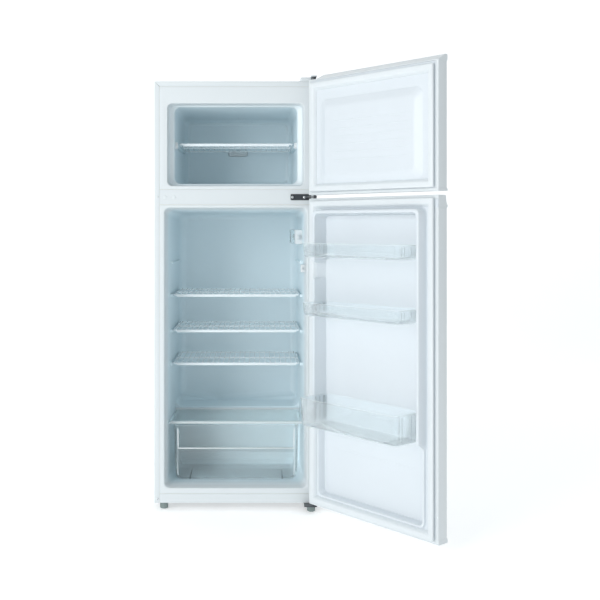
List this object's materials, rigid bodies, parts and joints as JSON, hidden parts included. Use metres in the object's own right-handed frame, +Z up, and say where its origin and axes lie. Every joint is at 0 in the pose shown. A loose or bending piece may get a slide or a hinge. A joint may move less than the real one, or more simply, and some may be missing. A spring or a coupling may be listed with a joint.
{
  "type": "top freezer refrigerator",
  "caption": "White top freezer refrigerator with two right-hinged doors, wire shelves, glass-covered crisper drawer and clear door bins, shown with both doors open.",
  "frame": {"origin": "on the floor, in the middle of the cabinet's footprint", "axes": "+Z up, +X to the right as a person faces the doors, -Y out of the front"},
  "size_m": [0.8988, 0.9667, 1.451],
  "materials": {
    "white_steel": "semi-gloss white baked enamel",
    "grey_steel": "galvanised grey sheet",
    "white_plastic": "smooth white moulded plastic",
    "liner_plastic": "satin white vacuum-formed polystyrene",
    "insulation": "closed-cell rigid foam",
    "seal": "soft white magnetic door seal",
    "black_steel": "satin black painted steel",
    "zinc": "zinc plated",
    "rubber_grey": "dark grey rubber",
    "foot_plastic": "dark grey moulded nylon",
    "compressor_black": "gloss black stove enamel",
    "copper": "drawn copper tube",
    "plate_aluminium": "roll-bonded aluminium",
    "wire_white": "white polyethylene coated wire",
    "clear_plastic": "clear crystal polystyrene",
    "shelf_glass": "toughened clear glass",
    "lamp_glass": "clear lamp glass",
    "grey_plastic": "light grey moulded plastic"
  },
  "bodies": {
    "cabinet": {"cabinet_shell": "white_steel", "rear_panel": "grey_steel", "base_pan": "grey_steel", "machine_bay_panel": "grey_steel", "compressor_plate": "grey_steel", "cabinet_foam": "insulation", "freezer_liner": "liner_plastic", "fridge_liner": "liner_plastic", "centre_rail": "white_steel", "bottom_rail": "white_steel", "rail_plugs": "white_plastic", "cabinet_screws": "zinc", "condenser_coil": "copper", "evaporator_plates": "plate_aluminium", "top_hinge_bracket": "black_steel", "top_hinge_cover": "white_plastic", "middle_hinge_bracket": "black_steel", "bottom_hinge_bracket": "black_steel", "rear_feet": "foot_plastic", "compressor": "compressor_black", "compressor_mounts": "rubber_grey", "terminal_cover": "foot_plastic", "evaporating_tray": "grey_plastic", "filter_drier": "copper", "refrigerant_tubes": "copper", "drain_hose": "grey_plastic", "cord_gland": "rubber_grey", "shelf_clips": "white_plastic", "sensor_cover": "white_plastic", "thermostat_housing": "white_plastic", "lamp_cover": "clear_plastic", "lamp_bulb": "lamp_glass", "door_switch_housing": "white_plastic"},
    "freezer_door": {"freezer_door_skin": "white_steel", "freezer_door_top_cap": "white_plastic", "freezer_door_bottom_cap": "white_plastic", "freezer_door_liner": "liner_plastic", "freezer_door_foam": "insulation", "freezer_door_gasket": "seal"},
    "fridge_door": {"fridge_door_skin": "white_steel", "fridge_door_top_cap": "white_plastic", "fridge_door_bottom_cap": "white_plastic", "fridge_door_liner": "liner_plastic", "fridge_door_foam": "insulation", "fridge_door_gasket": "seal"},
    "upper_bin": {"upper_bin": "clear_plastic"},
    "middle_bin": {"middle_bin": "clear_plastic"},
    "bottle_bin": {"bottle_bin": "clear_plastic"},
    "freezer_shelf": {"freezer_shelf": "wire_white"},
    "upper_shelf": {"upper_shelf": "wire_white"},
    "middle_shelf": {"middle_shelf": "wire_white"},
    "lower_shelf": {"lower_shelf": "wire_white"},
    "crisper_cover": {"crisper_glass": "shelf_glass", "glass_front_trim": "clear_plastic", "glass_rear_trim": "white_plastic"},
    "crisper_drawer": {"crisper_drawer": "clear_plastic"},
    "thermostat_knob": {"thermostat_knob": "white_plastic"},
    "door_switch": {"door_switch_plunger": "grey_plastic"},
    "left_foot": {"left_foot": "foot_plastic"},
    "right_foot": {"right_foot": "foot_plastic"}
  },
  "joints": [
    {"name": "freezer_door_hinge", "type": "hinge", "parent": "cabinet", "child": "freezer_door", "pos_m": [0.263, -0.28, 1.25], "axis": [0, 0, 1], "range_deg": [-130, 20]},
    {"name": "fridge_door_hinge", "type": "hinge", "parent": "cabinet", "child": "fridge_door", "pos_m": [0.263, -0.28, 0.55], "axis": [0, 0, 1], "range_deg": [-130, 20]},
    {"name": "freezer_shelf_slide", "type": "slide", "parent": "cabinet", "child": "freezer_shelf", "axis": [0, -1, 0], "range_m": [0, 0.28]},
    {"name": "upper_shelf_slide", "type": "slide", "parent": "cabinet", "child": "upper_shelf", "axis": [0, -1, 0], "range_m": [0, 0.3]},
    {"name": "middle_shelf_slide", "type": "slide", "parent": "cabinet", "child": "middle_shelf", "axis": [0, -1, 0], "range_m": [0, 0.3]},
    {"name": "lower_shelf_slide", "type": "slide", "parent": "cabinet", "child": "lower_shelf", "axis": [0, -1, 0], "range_m": [0, 0.3]},
    {"name": "crisper_cover_slide", "type": "slide", "parent": "cabinet", "child": "crisper_cover", "axis": [0, -1, 0], "range_m": [0, 0.2]},
    {"name": "crisper_drawer_slide", "type": "slide", "parent": "cabinet", "child": "crisper_drawer", "axis": [0, -1, 0], "range_m": [0, 0.22]},
    {"name": "upper_bin_lift", "type": "slide", "parent": "fridge_door", "child": "upper_bin", "axis": [0, 0, 1], "range_m": [0, 0.04]},
    {"name": "middle_bin_lift", "type": "slide", "parent": "fridge_door", "child": "middle_bin", "axis": [0, 0, 1], "range_m": [0, 0.04]},
    {"name": "bottle_bin_lift", "type": "slide", "parent": "fridge_door", "child": "bottle_bin", "axis": [0, 0, 1], "range_m": [0, 0.04]},
    {"name": "thermostat_turn", "type": "hinge", "parent": "cabinet", "child": "thermostat_knob", "pos_m": [0.2145, -0.14, 0.912], "axis": [0, -1, 0], "range_deg": [0, 270]},
    {"name": "door_switch_press", "type": "slide", "parent": "cabinet", "child": "door_switch", "axis": [0, 1, 0], "range_m": [0, 0.006], "stiffness_N_per_m": 300},
    {"name": "left_foot_turn", "type": "hinge", "parent": "cabinet", "child": "left_foot", "pos_m": [-0.242, -0.222, 0.01], "axis": [0, 0, 1], "continuous": true},
    {"name": "right_foot_turn", "type": "hinge", "parent": "cabinet", "child": "right_foot", "pos_m": [0.252, -0.258, 0.01], "axis": [0, 0, 1], "continuous": true}
  ]
}
